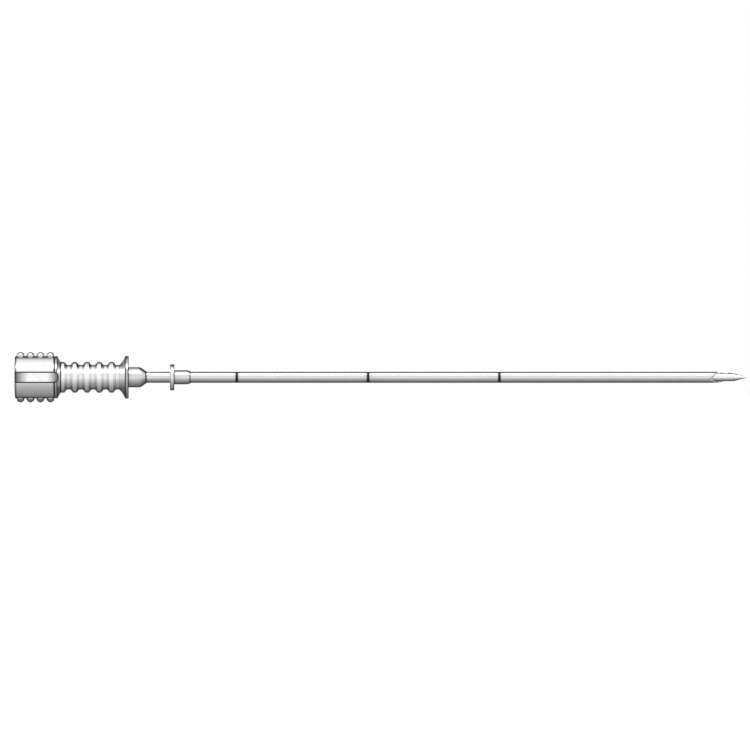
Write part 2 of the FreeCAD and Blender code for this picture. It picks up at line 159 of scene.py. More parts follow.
def turned(name, points, closed=False, around=AROUND):
    """Turn points (along, radius, painted shade and grime) about the X axis."""
    vertices, painted_shade_and_grime, rings = [], [], []
    for along, radius, shade in points:
        if radius < ON_AXIS:
            rings.append([len(vertices)] * around)
            vertices.append((along * MM, 0, 0))
            painted_shade_and_grime.append(shade)
            continue
        rings.append(range(len(vertices), len(vertices) + around))
        for step in range(around):
            angle = 2 * math.pi * step / around
            vertices.append((along * MM, radius * MM * math.cos(angle), radius * MM * math.sin(angle)))
            painted_shade_and_grime.append(shade)
    faces = []
    for near, far in zip(rings, rings[1:] + (rings[:1] if closed else [])):
        for step in range(around):
            corners = [near[step], near[(step + 1) % around], far[(step + 1) % around], far[step]]
            face = list(dict.fromkeys(corners))
            if len(face) > 2:
                faces.append(face)
    return new_piece(name, vertices, faces, painted_shade_and_grime)


def add_shade_and_grime_where(piece, chosen, amount):
    """Raise the painted shade and grime of the vertices that a rule in millimetres chooses."""
    painted_shade_and_grime = piece.data.attributes["painted_shade_and_grime"].data
    for vertex, item in zip(piece.data.vertices, painted_shade_and_grime):
        if chosen(*(vertex.co / MM)):
            item.value = max(item.value, amount)


def carve(piece, cutter):
    """Cut one mesh out of another and drop the cutter."""
    cut = piece.modifiers.new("cut", "BOOLEAN")
    cut.operation, cut.solver, cut.object = "DIFFERENCE", "EXACT", cutter
    bake(piece)
    bpy.data.objects.remove(cutter)


def bake(piece):
    """Turn the piece with its modifiers into a plain mesh."""
    evaluated = piece.evaluated_get(bpy.context.evaluated_depsgraph_get())
    mesh = bpy.data.meshes.new_from_object(evaluated)
    piece.modifiers.clear()
    piece.data = mesh
    smooth(mesh)


# %% [markdown]
# ## Nodes
# Materials and geometry trees are both made of nodes. One small function adds any of them, with its
# settings and with what feeds its sockets, so a material reads as a list of what it is made of.

# %% Add a node
def add(tree, kind, settings=(), inputs=()):
    """New node, with its settings and with a value or a link for each named socket."""
    node = tree.nodes.new(kind)
    for name, value in dict(settings).items():
        setattr(node, name, value)
    for socket, value in dict(inputs).items():
        if isinstance(value, bpy.types.NodeSocket):
            tree.links.new(value, node.inputs[socket])
        else:
            node.inputs[socket].default_value = value
    return node


def linear(code):
    """Linear colour with alpha from an sRGB hex code."""
    channels = [int(code[place:place + 2], 16) / 255 for place in (1, 3, 5)]
    return [c / 12.92 if c <= 0.04045 else ((c + 0.055) / 1.055) ** 2.4 for c in channels] + [1]


print("mid grey in linear light:", round(linear("#808080")[0], 3))

# %% [markdown]
# ## Turned metal
# The hub, nose, knob and stop are brass turned on a lathe and nickel plated. The plate is satin on
# the knob, its beads and the disc. The hub has a lighter copy of it, as painted light, and the nose
# and the sleeve have a darker copy. A lathe leaves fine rings: along a barrel they follow X, on a
# flat face they follow the radius. So the pattern is noise over the pair (x, radius), which makes
# rings on every turned face at once. The real feed is about 0.05 mm, too fine for this view, so the
# rings are drawn 0.2 mm apart. Broad soft clouds vary the polish. Painted shade darkens inside
# corners, rims and recesses, and grime darkens joints. On a metal, Specular Tint is the colour of a
# reflection at a grazing angle, and a light grey calms the rims. The steels of tube, rod, plug and
# key are made the same way, with fine lines along X.

# %% Metal that was turned or drawn
RING_MM, LINE_MM, CLOUDS_PER_MM = 0.2, 0.12, 0.45
LINE_STRETCH, WORN_ROUGHER, TOOL_BUMP = 0.04, 0.06, 0.5
SHADE_AND_GRIME_GREY, GRAZING_GREY = "#2b2b2b", "#c8c8c8"


def start_material(name):
    material = bpy.data.materials.new(name)
    material.use_nodes = True
    material.node_tree.nodes.clear()
    return material, material.node_tree


def millimetres(tree):
    """Place on the piece, in millimetres."""
    where = add(tree, "ShaderNodeTexCoord")
    return add(tree, "ShaderNodeMapping", inputs={"Vector": where.outputs["Object"],
                                                  "Scale": (1000, 1000, 1000)}).outputs[0]


def noise(tree, vector, per_mm, detail):
    return add(tree, "ShaderNodeTexNoise", inputs={"Vector": vector, "Scale": per_mm,
                                                   "Detail": detail}).outputs[0]


def spread(tree, value, low, high):
    """Stretch the middle of a noise to the range low to high."""
    return add(tree, "ShaderNodeMapRange", inputs={"Value": value, "From Min": 0.3, "From Max": 0.7,
                                                   "To Min": low, "To Max": high}).outputs[0]


def mix_colours(tree, share, first, second):
    mix = add(tree, "ShaderNodeMix", {"data_type": "RGBA"}, {0: share, 6: first, 7: second})
    return mix.outputs[2]


def turned_rings(tree, place):
    split = add(tree, "ShaderNodeSeparateXYZ", inputs={0: place})
    across = add(tree, "ShaderNodeCombineXYZ", inputs={"Y": split.outputs["Y"], "Z": split.outputs["Z"]})
    radius = add(tree, "ShaderNodeVectorMath", {"operation": "LENGTH"}, {0: across.outputs[0]})
    pair = add(tree, "ShaderNodeCombineXYZ", inputs={"X": split.outputs["X"],
                                                     "Y": radius.outputs["Value"]})
    return noise(tree, pair.outputs[0], 1 / RING_MM, 1)


def drawn_lines(tree, place):
    stretched = add(tree, "ShaderNodeMapping", inputs={"Vector": place, "Scale": (LINE_STRETCH, 1, 1)})
    return noise(tree, stretched.outputs[0], 1 / LINE_MM, 2)


def metal(name, bright, worn, lines, rough, relief):
    """Metal with tool lines. Rough is a range, relief the lines' height in millimetres."""
    material, tree = start_material(name)
    place = millimetres(tree)
    tooling = lines(tree, place)
    clouds = noise(tree, place, CLOUDS_PER_MM, 3)
    wear = spread(tree, clouds, 0, 0.5)
    base = mix_colours(tree, wear, linear(bright), linear(worn))
    # painted shade and grime: the vertex attribute mixes a dark grey into the base colour
    painted_shade_and_grime = add(tree, "ShaderNodeAttribute", {"attribute_name": "painted_shade_and_grime"}).outputs["Fac"]
    shade_and_grime_colour = mix_colours(tree, painted_shade_and_grime, base, linear(SHADE_AND_GRIME_GREY))
    polish = spread(tree, tooling, *rough)
    dull = add(tree, "ShaderNodeMath", {"operation": "MULTIPLY_ADD"},
               {0: wear, 1: WORN_ROUGHER, 2: polish})
    bump = add(tree, "ShaderNodeBump", inputs={"Strength": TOOL_BUMP, "Distance": relief * MM,
                                               "Height": tooling})
    shader = add(tree, "ShaderNodeBsdfPrincipled", inputs={
        "Base Color": shade_and_grime_colour, "Metallic": 1, "Roughness": dull.outputs[0], "Normal": bump.outputs[0],
        "Specular Tint": linear(GRAZING_GREY)})
    add(tree, "ShaderNodeOutputMaterial", inputs={"Surface": shader.outputs[0]})
    return material


satin_nickel = metal("satin_nickel_plate", "#ebebea", "#e0e0df", turned_rings, (0.2, 0.27), 0.002)
drawn_steel = metal("drawn_stainless_steel", "#dfdfdf", "#d2d3d3", drawn_lines, (0.11, 0.17), 0.0015)
polished_steel = metal("polished_stainless_steel", "#f0f0f0", "#e6e6e6", drawn_lines, (0.08, 0.14), 0.001)
# painted light: the hub's plate is a lighter copy of the satin plate; the next one is a darker copy
nickel_painted_lighter = metal("nickel_plate_painted_lighter", "#fafaf9", "#f1f1f0", turned_rings, (0.18, 0.26), 0.002)
darker_nickel = metal("darker_nickel_plate", "#dcdcdc", "#d0d1d1", turned_rings, (0.18, 0.25), 0.002)
print("metals:", *[m.name for m in (satin_nickel, nickel_painted_lighter, darker_nickel, drawn_steel, polished_steel)])

# %% [markdown]
# ## Hub
# The hub is one turned bar: a thin front flange, a short cone, a grip of five rounded grooves, a
# second cone, and a collar round the mouth of the tapered socket. The straight barrel comes first.
# A Geometry Nodes tree then cuts the grooves by a rule, as a form tool would: the radius at any
# place depends only on how far that place is from the nearest groove's middle. Smooth minimum and
# smooth maximum round the crests and floors.

# %% Turn the hub's blank
HUB_MOUTH, COLLAR_FRONT, RIBS_BACK, RIBS_FRONT, FLANGE_BACK = -14.04, -13.58, -12.93, -1.28, -0.63
CREST, TROUGH, PITCH, CREST_FLAT, TROUGH_FLAT = 2.935, 2.35, 2.33, 0.69, 0.63
RIM, MOUTH_RIM, SOCKET_FLOOR, FLOOR_RIM = 4.05, 2.135, -6.54, 1.91
NOSE_TAIL, NOSE_HOLE, TUBE_TAIL, THROAT_BACK, TUBE, BORE = -2, 1.925, -5.14, -5.54, 1.055, 0.8
GROOVE_SHADE, GROOVE_SHADE_REACH = 0.12, 0.95

# The outline starts at the socket's floor, and a spare corner on the barrel at either end is dropped
# the last number of each corner is painted shade at rims and corners, and grime at joints
front_half = rounded([
    (SOCKET_FLOOR, FLOOR_RIM, 0, 0.6), (HUB_MOUTH, MOUTH_RIM, 0.06, 0.3), (HUB_MOUTH, RIM, 0.1, 0.75),
    (COLLAR_FRONT, RIM, 0.06, 0.85), (RIBS_BACK, CREST, 0.05, 0.95), (-12.0, CREST, 0, 0)])[:-1]
groove_middle = (PITCH - CREST_FLAT) / 2
barrel = []
# painted shade: each groove's floor is darker than the crests
for x in np.linspace(RIBS_BACK + 0.2, RIBS_FRONT, 320):
    aside = abs((RIBS_FRONT - x) % PITCH - groove_middle)
    barrel.append((x, CREST, GROOVE_SHADE * max(0, 1 - (aside / GROOVE_SHADE_REACH) ** 2)))
back_half = rounded([
    (-3.0, CREST, 0, 0), (RIBS_FRONT, CREST, 0, 0.6), (FLANGE_BACK, RIM, 0.06, 0.9),
    (0, RIM, 0.06, 0.9), (0, NOSE_HOLE, 0, 1), (NOSE_TAIL, NOSE_HOLE, 0, 1), (NOSE_TAIL, TUBE, 0, 1),
    (TUBE_TAIL, TUBE, 0, 1), (TUBE_TAIL, BORE, 0, 1), (THROAT_BACK, BORE, 0, 0.8)])[3:]
hub = turned("hub", front_half + barrel + back_half, closed=True)
print("hub blank:", len(hub.data.vertices), "vertices")

# %% Cut the grooves by a rule
def new_tree(name, inputs):
    """Geometry tree with named inputs: name, socket kind, value."""
    tree = bpy.data.node_groups.new(name, "GeometryNodeTree")
    tree.is_modifier = True
    tree.interface.new_socket("Geometry", in_out="INPUT", socket_type="NodeSocketGeometry")
    tree.interface.new_socket("Geometry", in_out="OUTPUT", socket_type="NodeSocketGeometry")
    for label, kind, value in inputs:
        socket = tree.interface.new_socket(label, in_out="INPUT", socket_type="NodeSocket" + kind)
        if value is not None:
            socket.default_value = value
    return tree, add(tree, "NodeGroupInput").outputs


def finish_tree(tree, geometry, material):
    """End the tree in Realize Instances and Set Material."""
    real = add(tree, "GeometryNodeRealizeInstances", inputs={0: geometry})
    dressed = add(tree, "GeometryNodeSetMaterial", inputs={0: real.outputs[0], "Material": material})
    add(tree, "NodeGroupOutput", inputs={0: dressed.outputs[0]})


def run_tree(piece, tree, **values):
    """Set the tree's inputs by their identifiers, run it, and keep a plain mesh."""
    modifier = piece.modifiers.new(tree.name, "NODES")
    modifier.node_group = tree
    sockets = {item.name: item.identifier for item in tree.interface.items_tree
               if item.in_out == "INPUT"}
    for name, value in values.items():
        modifier[sockets[name]] = value
    bake(piece)


def math_node(tree, operation, *values):
    return add(tree, "ShaderNodeMath", {"operation": operation}, dict(enumerate(values))).outputs[0]


grooves, given = new_tree("turned_grooves", [
    ("Front", "Float", RIBS_FRONT * MM), ("Back", "Float", RIBS_BACK * MM),
    ("Pitch", "Float", PITCH * MM), ("Crest", "Float", CREST * MM), ("Trough", "Float", TROUGH * MM),
    ("Floor", "Float", TROUGH_FLAT * MM), ("Top", "Float", CREST_FLAT * MM),
    ("Rounding", "Float", 0.1 * MM), ("Finish", "Material", None)])
place = add(grooves, "GeometryNodeInputPosition").outputs[0]
split = add(grooves, "ShaderNodeSeparateXYZ", inputs={0: place}).outputs
radius = math_node(grooves, "SQRT", math_node(
    grooves, "ADD", math_node(grooves, "POWER", split[1], 2), math_node(grooves, "POWER", split[2], 2)))
from_front = math_node(grooves, "SUBTRACT", given["Front"], split[0])
along = math_node(grooves, "FLOORED_MODULO",
                  math_node(grooves, "MULTIPLY_ADD", given["Top"], 0.5, from_front), given["Pitch"])
from_middle = math_node(grooves, "ABSOLUTE", math_node(
    grooves, "SUBTRACT", along, math_node(grooves, "MULTIPLY", given["Pitch"], 0.5)))
groove_width = math_node(grooves, "SUBTRACT", given["Pitch"], given["Top"])
flank = math_node(grooves, "MULTIPLY", math_node(grooves, "SUBTRACT", groove_width, given["Floor"]), 0.5)
height = math_node(grooves, "SUBTRACT", given["Crest"], given["Trough"])
climb = math_node(grooves, "DIVIDE", math_node(
    grooves, "SUBTRACT", from_middle, math_node(grooves, "MULTIPLY", given["Floor"], 0.5)), flank)
slope = math_node(grooves, "MULTIPLY_ADD", climb, height, given["Trough"])
floored = math_node(grooves, "SMOOTH_MAX", slope, given["Trough"], given["Rounding"])
topped = math_node(grooves, "SMOOTH_MIN", floored, given["Crest"], given["Rounding"])
scale = math_node(grooves, "DIVIDE", topped, radius)
moved = add(grooves, "ShaderNodeCombineXYZ", inputs={
    0: split[0], 1: math_node(grooves, "MULTIPLY", split[1], scale),
    2: math_node(grooves, "MULTIPLY", split[2], scale)}).outputs[0]
outer = math_node(grooves, "GREATER_THAN", radius, math_node(grooves, "MULTIPLY", given["Crest"], 0.95))
inside = math_node(grooves, "MULTIPLY",
                   math_node(grooves, "GREATER_THAN", split[0], given["Back"]),
                   math_node(grooves, "LESS_THAN", split[0], given["Front"]))
chosen = math_node(grooves, "MULTIPLY", outer, inside)
cut = add(grooves, "GeometryNodeSetPosition", inputs={
    "Geometry": given["Geometry"], "Selection": chosen, "Position": moved})
finish_tree(grooves, cut.outputs[0], given["Finish"])
run_tree(hub, grooves, Finish=nickel_painted_lighter)
print("grooves cut:", round(hub.dimensions.z / MM, 3), "mm across")

# %% [markdown]
# A small notch in the collar takes the knob's key, so that the stylet goes home only one way round.
# The Boolean modifier cuts it, with a cutter of the key's own shape and a little clearance. Painted
# shade then goes into the notch and on the rear part of the flange's edge, where the drawing has a line.

# %% Cut the key's notch
SIDE_ROWS, CROWN_POWER = 24, 2.2
FADE_REAR, FADE_FRONT, SIDE_SHADE, END_SHADE, EDGE_SHADE = 2.6, 2.1, 0.45, 0.2, 0.9


def bar(name, back, middle, half, low, high, crown=0.0, edge=0.0):
    """Bar along X from x = back, 2 * half wide, with a half-round front end about x = middle. It
    stands from y = -low to y = -high. Crown lowers its outer face towards both ends, and edge
    rounds the rim of that face. Painted shade fades in towards both ends of the face, and greys the sides."""
    straight = np.linspace(0, 1, SIDE_ROWS)[1:-1]
    outline = [(back, half)] + [(back + (middle - back) * t, half) for t in straight]
    outline += [(middle + half * math.cos(a), half * math.sin(a))
                for a in np.linspace(math.pi / 2, -math.pi / 2, 33)]
    outline += [(x, -z) for x, z in reversed(outline[:SIDE_ROWS - 1])]
    outline += [(back, z) for z in np.linspace(-half, half, 10)[1:-1]]
    outline = np.array(outline)
    centre = np.array([(back + middle + half) / 2, 0])
    reach = (middle + half - back) / 2

    def height(x, drop):
        return high - crown * abs((x - centre[0]) / reach) ** CROWN_POWER - drop

    # painted shade: the key's face darkens towards both ends
    def dull(x):
        return max(0, 1 - (x - back) / FADE_REAR, 1 - (middle + half - x) / FADE_FRONT)

    # a level is its depth, or None at the crowned face, then its inset, its drop and its painted shade
    levels = [(low, 0, 0, SIDE_SHADE), (None, 0, edge, EDGE_SHADE)]
    face_inset = 0
    if edge:
        face_inset = edge + 0.11
        levels.insert(1, (None, 0, edge + 0.2, SIDE_SHADE))
        levels += [(None, edge * (1 - math.cos(angle)), edge * (1 - math.sin(angle)), 1)
                   for angle in np.linspace(0, math.pi / 2, 5)[1:]]
        levels += [(None, edge + 0.05, 0, EDGE_SHADE), (None, face_inset, 0, 0)]
    vertices, faces, painted_shade_and_grime, rings = [], [], [], []
    inward = np.array([[0.0, 0.0]] * len(outline))
    for index in range(len(outline)):
        along = outline[(index + 1) % len(outline)] - outline[index - 1]
        normal = np.array([along[1], -along[0]]) / (np.linalg.norm(along) or 1)
        inward[index] = normal if normal @ (centre - outline[index]) > 0 else -normal
    for depth, inset, drop, shade in levels:
        ring = outline + inward * inset
        rings.append(range(len(vertices), len(vertices) + len(outline)))
        for x, z in ring:
            y = depth if depth is not None else height(x, drop)
            vertices.append((x * MM, -y * MM, z * MM))
            on_end = x < back + 0.01 and abs(z) < 0.8 * half and (depth is not None or drop > edge)
            on_face = depth is None and drop == 0 or shade > 0.5
            painted_shade_and_grime.append(END_SHADE if on_end else max(shade, dull(x)) if on_face else shade)
    for near, far in zip(rings, rings[1:]):
        for step in range(len(outline)):
            after = (step + 1) % len(outline)
            faces.append([near[step], near[after], far[after], far[step]])
    # the outer face shrinks towards the bar's middle line, where both sides share their vertices
    last = rings[-1]
    for fraction in (0.75, 0.5, 0.25, 0):
        now, shared = [], {}
        for x, z in outline + inward * face_inset:
            x = min(x, middle) + (x - min(x, middle)) * fraction
            place = (round(x, 5), round(z * fraction, 5))
            if place not in shared:
                shared[place] = len(vertices)
                vertices.append((x * MM, -height(x, 0) * MM, z * fraction * MM))
                painted_shade_and_grime.append(dull(x))
            now.append(shared[place])
        for step in range(len(outline)):
            after = (step + 1) % len(outline)
            face = list(dict.fromkeys([last[step], last[after], now[after], now[step]]))
            if len(face) > 2:
                faces.append(face)
        last = now
    faces.append(list(rings[0]))
    return new_piece(name, vertices, faces, painted_shade_and_grime)


KEY_BEND, KEY_HALF, KEY_FLOOR, NOTCH_CLEARANCE = -14.31, 1.03, 3.05, 0.06
NOTCH_SHADE, FLANGE_LINE_SHADE, FLANGE_LINE_SHADE_WIDTH = 0.6, 0.85, 0.22
cutter = bar("notch_cutter", -15.2, KEY_BEND, KEY_HALF + NOTCH_CLEARANCE, KEY_FLOOR - NOTCH_CLEARANCE, 4.8)
carve(hub, cutter)
# painted shade in the notch and along the flange's rear edge
add_shade_and_grime_where(hub, lambda x, y, z: x < -13.1 and abs(z) < 1.1 and y < -2.9, NOTCH_SHADE)
add_shade_and_grime_where(hub, lambda x, y, z: 0 < x - FLANGE_BACK < FLANGE_LINE_SHADE_WIDTH and math.hypot(y, z) > RIM - 0.01,
           FLANGE_LINE_SHADE)
print("hub with its notch:", len(hub.data.vertices), "vertices")

# %% [markdown]
# ## Nose
# The nose is a short ferrule brazed into the hub, and the tube is brazed into it. Its front is a
# slightly convex cone with a rounded tip. Its joint with the hub is darkened, and painted shade darkens the
# tip.

# %% Turn the nose
CONE_POINTS = 8


def convex(start, end, bulge):
    """Points of a cone whose side bulges outward by a few hundredths of a millimetre."""
    return [(start[0] + (end[0] - start[0]) * t,
             start[1] + (end[1] - start[1]) * t + bulge * math.sin(math.pi * t), 0)
            for t in np.linspace(0, 1, CONE_POINTS)]


NOSE, NOSE_BORE, NOSE_TIP, NOSE_BULGE = 1.924, 1.056, 3.385, 0.045
nose_profile = [(NOSE_TAIL, NOSE_BORE, 1), (NOSE_TAIL, NOSE, 1), (-0.02, NOSE, 1), (0.05, NOSE, 0.8)]
nose_profile += [(x, NOSE, 0) for x in (0.17, 1.0, 1.9)]
nose_profile += convex((2.15, 1.918), (3.15, 1.27), NOSE_BULGE)
nose_profile += [(3.2, 1.237, 1), (3.32, 1.16, 1), (3.37, 1.135, 1), (NOSE_TIP, 1.10, 1),
                 (NOSE_TIP, NOSE_BORE, 1)]
nose = turned("nose", nose_profile, closed=True)
nose.data.materials.append(darker_nickel)
print("nose:", len(nose.data.vertices), "vertices")

# %% [markdown]
# ## Cannula
# The cannula is a plain drawn tube until its last five millimetres, where a grinding wheel has
# hollowed the bevel. The wheel is a circle, so the place where each line of the wall ends is known
# exactly: it is where that line meets the circle. The mesh follows that rule, ring by ring, from the
# outer wall over the ground land to the bore. Behind the heel a small flat is ground as well. A
# narrow chamfer breaks the rest of the outer edge, and shallow grooves hold the depth bands.

# %% Build the tube by the wheel's rule
WHEEL_X, WHEEL_H, WHEEL_R, TURN = 116.936, -8.067, 9.2, math.radians(19)
FLAT_BACK, FLAT_SLOPE, CREASE = 110.56, 0.42 / 0.076, -0.958
BREAK_FROM, BREAK_FADE, BREAK_LENGTH, BREAK_DEPTH, LEAST_LAND = 111.2, 0.6, 0.09, 0.046, 0.06
MARKS, MARK_PITCH, MARK_WIDTH, MARK_DEPTH = (20.6, 45.6, 70.6), 25, 0.45, 0.04
# painted shade on the bevel's rim and inside the bore
RIM_SHADE, BORE_SHADE, BORE_EDGE_SHADE, BORE_START = 0.55, 0.75, 0.9, 108
tube_around = 144
angles = [2 * math.pi * step / tube_around for step in range(tube_around)]


def wall_end(angle, radius):
    """Where the wheel, or the flat behind the heel, cuts a line of the wall."""
    across = radius * math.cos(angle - TURN)
    wheel = WHEEL_X - math.sqrt(WHEEL_R ** 2 - (across - WHEEL_H) ** 2)
    return min(wheel, FLAT_BACK + (across + TUBE) * FLAT_SLOPE)


def rim_break(angle):
    """1 where the outer edge is broken, fading to 0 along the heel's flat."""
    return min(1, max(0, (wall_end(angle, TUBE) - BREAK_FROM) / BREAK_FADE))


def crease(angle):
    """Radius at which the flat meets the wheel's hollow."""
    side = math.cos(angle - TURN)
    meeting = CREASE / side if side < -0.5 else TUBE
    return min(TUBE - LEAST_LAND, max(BORE + LEAST_LAND, meeting))


# the tube's joint with the nose is darkened at 3.3 and 3.42 mm, where the tube comes out of it
outer_steps = [TUBE_TAIL, -3, 3.3, 3.42, 3.5, 4.5]
for middle in MARKS:
    low, high = middle - MARK_WIDTH / 2, middle + MARK_WIDTH / 2
    outer_steps += [low - 0.3, low, high, high + 0.3]
outer_steps += list(np.linspace(75, 109.6, 8))
tube_rings = []
for x in outer_steps:
    at_mark = next((m for m in MARKS if abs(abs(x - m) - MARK_WIDTH / 2) < 1e-6), None)
    if at_mark is None:
        tube_rings.append([(x, TUBE, 0.8 if x in (3.3, 3.42) else 0)] * tube_around)
    else:
        inner = [[(x, TUBE, 0.5)] * tube_around, [(x, TUBE - MARK_DEPTH, 1)] * tube_around]
        tube_rings += inner if x < at_mark else inner[::-1]
shoulder = outer_steps[-1]
for share in np.linspace(0.08, 1, 26):
    rim_shade = RIM_SHADE if share > 0.999 else 0
    ends = [wall_end(a, TUBE) - 0.01 - BREAK_LENGTH * rim_break(a) for a in angles]
    tube_rings.append([(shoulder + (end - shoulder) * share, TUBE, rim_shade) for end in ends])
land_start = len(tube_rings)
for share in np.linspace(0, 1, 4):
    ring = []
    for a in angles:
        first = TUBE - 0.004 - BREAK_DEPTH * rim_break(a)
        radius = first + (crease(a) - first) * share
        ring.append((wall_end(a, radius), radius, RIM_SHADE * (1 - share) * 0.5))
    tube_rings.append(ring)
for share in np.linspace(0.2, 1, 5):
    ring = []
    for a in angles:
        radius = crease(a) + (BORE + 0.012 - crease(a)) * share
        ring.append((wall_end(a, radius), radius, 0))
    tube_rings.append(ring)
land_end = len(tube_rings)
tube_rings.append([(wall_end(a, BORE) - 0.012, BORE, BORE_EDGE_SHADE) for a in angles])
for share in np.linspace(0.97, 0, 14):
    tube_rings.append([(BORE_START + (wall_end(a, BORE) - BORE_START) * share, BORE, BORE_SHADE)
                       for a in angles])
tube_rings.append([(TUBE_TAIL, BORE, 1)] * tube_around)

vertices, painted_shade_and_grime, faces, land_faces = [], [], [], []
for ring in tube_rings:
    for (x, radius, shade), angle in zip(ring, angles):
        vertices.append((x * MM, radius * MM * math.cos(angle), radius * MM * math.sin(angle)))
        painted_shade_and_grime.append(shade)
for row in range(len(tube_rings)):
    after = (row + 1) % len(tube_rings)
    for step in range(tube_around):
        side = (step + 1) % tube_around
        faces.append([row * tube_around + step, row * tube_around + side,
                      after * tube_around + side, after * tube_around + step])
        land_faces.append(land_start - 1 <= row < land_end)
tube = new_piece("tube", vertices, faces, painted_shade_and_grime)
smooth(tube.data, angle=22)
print(f"bevel from {wall_end(TURN + math.pi, TUBE):.2f} to {wall_end(TURN, TUBE):.2f} mm")

# %% [markdown]
# The ground land is brighter and crisper than the drawn wall, with fine lines left by the wheel, so
# it has its own material on the same mesh.

# %% Dress the tube
def ground_lines(tree, place):
    stretched = add(tree, "ShaderNodeMapping", inputs={"Vector": place, "Scale": (0.15, 1, 1)})
    return noise(tree, stretched.outputs[0], 1 / 0.05, 1)


ground_steel = metal("wheel_ground_steel", "#f2f3f3", "#e4e5e6", ground_lines, (0.1, 0.2), 0.002)
tube.data.materials.append(drawn_steel)
tube.data.materials.append(ground_steel)
for polygon, is_land in zip(tube.data.polygons, land_faces):
    polygon.material_index = 1 if is_land else 0
print("ground faces:", sum(land_faces))

# %% [markdown]
# ## Depth bands
# Three black bands fill shallow grooves round the tube, 25 mm apart. One band is turned, and a
# Geometry Nodes tree repeats it: a line of points along the tube, and the band on each of them. The
# same tree repeats the beads of the knob.

# %% Black fill, and a tree that repeats a piece in a row
def fill_material():
    material, tree = start_material("baked_black_fill")
    place = millimetres(tree)
    grain = noise(tree, place, 1 / 0.15, 3)
    base = mix_colours(tree, spread(tree, grain, 0, 1), linear("#060606"), linear("#161616"))
    bump = add(tree, "ShaderNodeBump", inputs={"Strength": 0.4, "Distance": 0.004 * MM, "Height": grain})
    shader = add(tree, "ShaderNodeBsdfPrincipled", inputs={
        "Base Color": base, "Roughness": spread(tree, grain, 0.6, 0.8), "Normal": bump.outputs[0],
        "Specular IOR Level": 0.3})
    add(tree, "ShaderNodeOutputMaterial", inputs={"Surface": shader.outputs[0]})
    return material


black_fill = fill_material()
row_tree, given = new_tree("row_along_the_needle", [
    ("Count", "Int", 3), ("First", "Float", 0.0), ("Pitch", "Float", 0.025), ("Finish", "Material", None)])
start = add(row_tree, "ShaderNodeCombineXYZ", inputs={"X": given["First"]})
step = add(row_tree, "ShaderNodeCombineXYZ", inputs={"X": given["Pitch"]})
line = add(row_tree, "GeometryNodeMeshLine", {"mode": "OFFSET"}, {
    "Count": given["Count"], "Start Location": start.outputs[0], "Offset": step.outputs[0]})
copies = add(row_tree, "GeometryNodeInstanceOnPoints", inputs={
    "Points": line.outputs[0], "Instance": given["Geometry"]})
finish_tree(row_tree, copies.outputs[0], given["Finish"])

half = MARK_WIDTH / 2 - 0.001
BAND_FLOOR, BAND_TOP = 1.018, 1.052
bands = turned("bands", rounded([
    (-half, BAND_FLOOR, 0, 0), (-half, BAND_TOP, 0.01, 0), (half, BAND_TOP, 0.01, 0),
    (half, BAND_FLOOR, 0, 0)], closed=True, reach=0.03), closed=True, around=96)
run_tree(bands, row_tree, Count=len(MARKS), First=MARKS[0] * MM, Pitch=MARK_PITCH * MM, Finish=black_fill)
print("bands:", len(bands.data.vertices), "vertices")

# %% [markdown]
# ## Knob, beads and key
# The knob is turned with a rounded rear edge. Four half-round beads stand across it at the top and
# four at the bottom, for finger and thumb. Painted shade fades out over the knob beside each bead,
# and the lower beads carry more painted shade, because the drawing shades them darker. The key is
# a bar let into the knob's side. Its polished outer face is slightly crowned, and painted shade
# darkens it towards both ends, so the light fades there.

# %% Make the knob
CAP_REAR, CAP_FRONT, PLUG_TAIL, SLOT_CLEARANCE, KEY_TOP = -21.66, -14.09, 1.6, 0.015, 4.30
BEAD, BEAD_HALF, BEAD_PITCH, FIRST_BEAD, BEADS = 0.76, 1, 1.9, 1.05, 4
SHADE_STEPS, SHADE_REACH, SHADE_STEP, BEAD_SHADE, LOWER_BEAD_SHADE = 12, 0.9, 0.06, 0.15, 0.4

# the last number of each point is painted shade at the knob's rims
rear = [(CAP_REAR, radius, 0) for radius in np.linspace(0, 3.55, 30)]
rear += rounded([(CAP_REAR, 3, 0, 0), (CAP_REAR, RIM, 0.25, 0.7), (-18, RIM, 0, 0)])[1:-1]
front = rounded([
    (-18, RIM, 0, 0), (CAP_FRONT, RIM, 0.12, 0.75), (CAP_FRONT, PLUG_TAIL, 0, 0.6),
    (CAP_FRONT - 0.4, PLUG_TAIL, 0, 0.6), (CAP_FRONT - 0.4, 0, 0, 0.6)])[1:]
barrel = [(x, RIM, 0) for x in np.linspace(rear[-1][0], front[0][0], 60)[1:-1]]
knob = turned("knob", rear + barrel + front)
slot_cutter = bar("slot_cutter", -22.2, -13.0, KEY_HALF + SLOT_CLEARANCE, KEY_FLOOR - 0.01, 4.9)
carve(knob, slot_cutter)
bead_middles = [CAP_REAR + FIRST_BEAD + BEAD_PITCH * step for step in range(BEADS)]


def beside_beads(x, y):
    """Distance from the nearest bead's foot, in millimetres."""
    past_side = max(0, min(abs(x - middle) for middle in bead_middles) - BEAD)
    return math.hypot(past_side, max(0, abs(y) - BEAD_HALF))


# painted shade fading out over the knob beside each bead
for step in range(SHADE_STEPS):
    reach = SHADE_REACH * (1 - step / SHADE_STEPS)
    add_shade_and_grime_where(knob, lambda x, y, z: abs(z) > 2 and CAP_REAR + 0.02 < x < CAP_FRONT - 0.1
               and beside_beads(x, y) < reach, SHADE_STEP * (step + 1))
# painted shade in the slot round the key
add_shade_and_grime_where(knob, lambda x, y, z: abs(z) < 1.06 and y < -3, 1)
knob.data.materials.clear()
knob.data.materials.append(satin_nickel)

